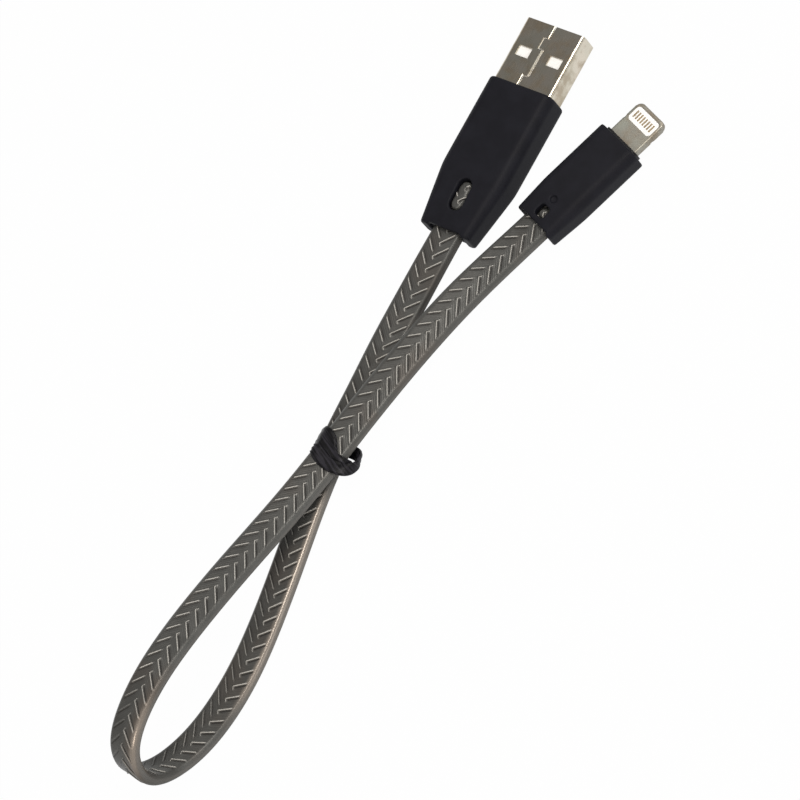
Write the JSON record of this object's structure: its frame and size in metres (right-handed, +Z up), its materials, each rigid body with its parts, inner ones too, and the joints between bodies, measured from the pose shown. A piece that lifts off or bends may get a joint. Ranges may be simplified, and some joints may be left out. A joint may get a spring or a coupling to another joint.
{
  "type": "charging cable",
  "caption": "Short flat charging cable, folded over and held by a soft tie, with a wide host plug, a slim reversible device plug and a herringbone strap.",
  "frame": {"origin": "on the table, under the middle of the host plug's overmould", "axes": "+X along the host plug's insertion direction, +Y to the left of it, +Z up from the table"},
  "size_m": [0.1435, 0.033, 0.0177],
  "materials": {
    "plug_steel": "fine satin plate",
    "insulator_white": "smooth",
    "contact_gold": "polished plate",
    "wire_copper": "tinned strands",
    "solder": "satin",
    "host_mould_ivory": "moulded",
    "overmould_black": "satin",
    "tab_steel": "satin",
    "panel_white": "smooth",
    "board_green": "solder mask",
    "chip_black": "moulded",
    "shield_steel": "bright",
    "device_mould_black": "moulded",
    "strap_gunmetal": "satin, embossed herringbone",
    "core_red": "extruded",
    "core_black": "extruded",
    "core_green": "extruded",
    "core_white": "extruded",
    "tie_black": "smooth"
  },
  "bodies": {
    "root": {"host_shell": "plug_steel", "host_insulator": "insulator_white", "host_contacts": "contact_gold", "host_wire_ends": "wire_copper", "host_solder": "solder", "host_inner_mould": "host_mould_ivory", "host_overmould": "overmould_black", "tab_frame": "tab_steel", "tab_insulator": "panel_white", "tab_contacts_top": "contact_gold", "tab_contacts_bottom": "contact_gold", "circuit_board": "board_green", "control_chip": "chip_black", "device_shield": "shield_steel", "device_wire_ends": "wire_copper", "device_solder": "solder", "device_inner_mould": "device_mould_black", "device_overmould": "overmould_black", "strap_jacket": "strap_gunmetal", "power_core": "core_red", "ground_core": "core_black", "data_core_plus": "core_green", "data_core_minus": "core_white", "cable_tie": "tie_black"}
  },
  "joints": []
}
